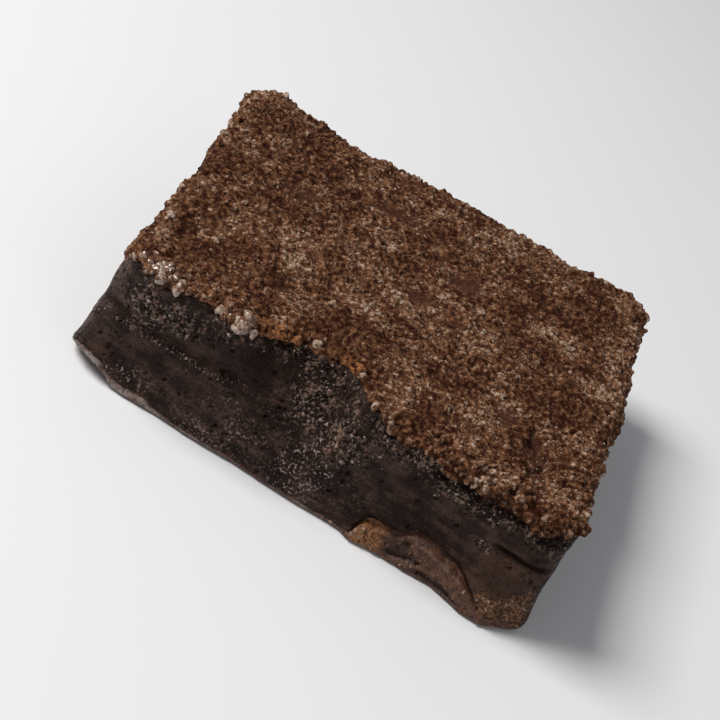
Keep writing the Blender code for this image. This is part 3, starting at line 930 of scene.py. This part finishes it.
class BROWNIE_OT_grains(bpy.types.Operator):
    """Strews coarse and fine grains over the crust, and crumbs and specks over the sides"""

    bl_idname = "brownie.grains"
    bl_label = "Grains and crumbs"

    def execute(self, context):
        grains = context.scene.brownie_grains
        # The last numbers: how strongly the patches show, roughness and specular level
        on_crust = grain_material("brownie crust grain", grains.dark, grains.middle, grains.light,
                                  0.42, 0.8, 0.12)
        sugared = grain_material("sugared crust grain", grains.dark, grains.middle, grains.sugared,
                                 0.38, 0.8, 0.12)
        wet = grain_material("wet caramelised crust", grains.dark, grains.middle, grains.sugared,
                             0.2, 0.2, 1.0, bump=0.25)
        on_crumb = grain_material("fudge crumb grain", grains.crumb_dark, grains.crumb_middle,
                                  grains.crumb_light, 0.2, 0.28, 0.6)
        moist = grain_material("moist fudge lump", grains.crumb_dark, grains.crumb_middle, grains.moist,
                               0.2, 0.3, 0.5, bump=0.5)
        glazed = grain_material("dried glaze crumb", grains.crumb_dark, grains.middle, grains.sugared,
                                0.0, 0.3, 0.5)
        # Each kind: its name, what it lies on and at which mark, the size that it takes from the settings,
        # the share left on dark patches, the faces of a grain, and the finish
        for name, under, where, size, thin, faces, material in (
                ("coarse_grains", "crust", "clotted", "coarse", 0.15, 20, on_crust),
                ("fine_grains", "crust", "strewn", "fine", 0.4, 8, sugared),
                ("edge_lumps", "crust", "edge", "lump", 0.7, 80, sugared),
                ("wet_lumps", "crust", "shiny", "wet", 1.0, 80, wet),
                ("skin_crumbs", "base_skin", "strewn", "crumb", 1.0, 20, on_crust),
                ("side_crumbs", "crumb", "strewn", "crumb", 0.6, 20, on_crumb),
                ("toe_crumbs", "crumb", "browned", "crumb", 0.8, 20, on_crust),
                ("moist_lumps", "crumb", "moist", "moist", 1.0, 80, moist),
                ("seam_crumbs", "crumb", "seam", "seam", 1.0, 20, glazed),
                ("side_specks", "crumb", "specked", "speck", 0.6, 8, on_crumb)):
            piece = show(name, bpy.data.objects[under].data.copy())
            marks = piece.data.attributes
            if where != "strewn":
                marks.remove(marks["strewn"])
                marks[where].name = "strewn"
            apply_tree(piece, scatter_tree(name.replace("_", " "), material, faces), {
                "Spacing": getattr(grains, size + "_spacing"), "Radius": getattr(grains, size + "_radius"),
                "Sunk": 0.5, "Thin": thin, "Seed": grains.seed})
            declare(piece)
        return {"FINISHED"}


class BROWNIE_OT_stage(bpy.types.Operator):
    """Sets the floor, the soft lights and the camera"""

    bl_idname = "brownie.stage"
    bl_label = "Floor, light and camera"

    def execute(self, context):
        stage, scene = context.scene.brownie_stage, context.scene
        make_floor(stage)
        make_lights(stage)
        make_camera()
        scene.view_settings.view_transform = "Standard"
        return {"FINISHED"}


def make_floor(stage):
    """A plain pale board, far larger than the view."""
    board = bmesh.new()
    bmesh.ops.create_grid(board, x_segments=4, y_segments=4, size=FLOOR_REACH)
    mesh = bpy.data.meshes.new("floor")
    board.to_mesh(mesh)
    board.free()
    mesh.materials.append(floor_material(stage))
    show("floor", mesh)


def toward(azimuth, elevation):
    """The direction at an azimuth, 0 in front and 90 at the right, and an elevation in degrees."""
    a, e = math.radians(azimuth), math.radians(elevation)
    return Vector((math.sin(a) * math.cos(e), -math.cos(a) * math.cos(e), math.sin(e)))


def make_lights(stage):
    """A large soft window light from behind on the left, a weak front fill, and even room light."""
    for name, azimuth, elevation, distance, width, power, tint in (
            ("window", -82.0, 50.0, 0.8, 0.35, stage.key, "#fffefc"),
            ("fill", 35.0, 30.0, 0.9, 0.6, stage.fill, "#ffffff")):
        lamp = bpy.data.lights.new(name, "AREA")
        lamp.size = width
        lamp.energy = power
        lamp.color = linear(tint)[:3]
        holder = bpy.data.objects.new(name, lamp)
        bpy.context.scene.collection.objects.link(holder)
        way = toward(azimuth, elevation)
        holder.location = MIDDLE + way * distance
        holder.rotation_euler = way.to_track_quat("Z", "Y").to_euler()
    world = bpy.data.worlds.new("room")
    bpy.context.scene.world = world
    world.use_nodes = True
    background = world.node_tree.nodes["Background"]
    background.inputs["Color"].default_value = linear("#f0f2f6")
    background.inputs["Strength"].default_value = stage.sky


def make_camera():
    """A long lens from a little left of the front, looking down, tilted on its side."""
    azimuth, elevation, roll, distance = -2.4, 33.3, 31.4, 253.0 * MM
    lens = bpy.data.cameras.new("camera")
    lens.sensor_width = 36.0
    lens.lens = 84.0
    lens.clip_start = 10.0 * MM
    camera = bpy.data.objects.new("camera", lens)
    bpy.context.scene.collection.objects.link(camera)
    way = toward(azimuth, elevation)
    turn = way.to_track_quat("Z", "Y").to_matrix() @ Matrix.Rotation(math.radians(roll), 3, "Z")
    camera.location = MIDDLE + way * distance
    camera.rotation_euler = turn.to_euler()
    bpy.context.scene.camera = camera


# ------------------------------------------------------------------------------------------ add-on

class BROWNIE_PT_panel(bpy.types.Panel):
    """Lists the brownie's pieces and settings"""

    bl_idname = "BROWNIE_PT_panel"
    bl_label = "Chocolate brownie"
    bl_space_type = "VIEW_3D"
    bl_region_type = "UI"
    bl_category = "Brownie"

    def draw(self, context):
        for piece in PIECES:
            self.layout.operator(piece.bl_idname)
        for key, group in SETTINGS.items():
            box = self.layout.box()
            box.label(text=group.__doc__)
            settings = getattr(context.scene, key)
            for prop in group.__annotations__:
                box.prop(settings, prop)


SETTINGS = {
    "brownie_crumb": BrownieCrumb,
    "brownie_crust": BrownieCrust,
    "brownie_base": BrownieBaseSkin,
    "brownie_grains": BrownieGrains,
    "brownie_stage": BrownieStage,
}
PIECES = (BROWNIE_OT_crumb, BROWNIE_OT_crust, BROWNIE_OT_base_skin, BROWNIE_OT_grains, BROWNIE_OT_stage)


def register():
    for kind in (*SETTINGS.values(), *PIECES, BROWNIE_PT_panel):
        bpy.utils.register_class(kind)
    for key, group in SETTINGS.items():
        setattr(bpy.types.Scene, key, PointerProperty(type=group))


def unregister():
    for key in SETTINGS:
        delattr(bpy.types.Scene, key)
    for kind in reversed((*SETTINGS.values(), *PIECES, BROWNIE_PT_panel)):
        bpy.utils.unregister_class(kind)


def main():
    register()
    bpy.ops.brownie.crumb()
    bpy.ops.brownie.crust()
    bpy.ops.brownie.base_skin()
    bpy.ops.brownie.grains()
    bpy.ops.brownie.stage()


if __name__ == "__main__":
    main()
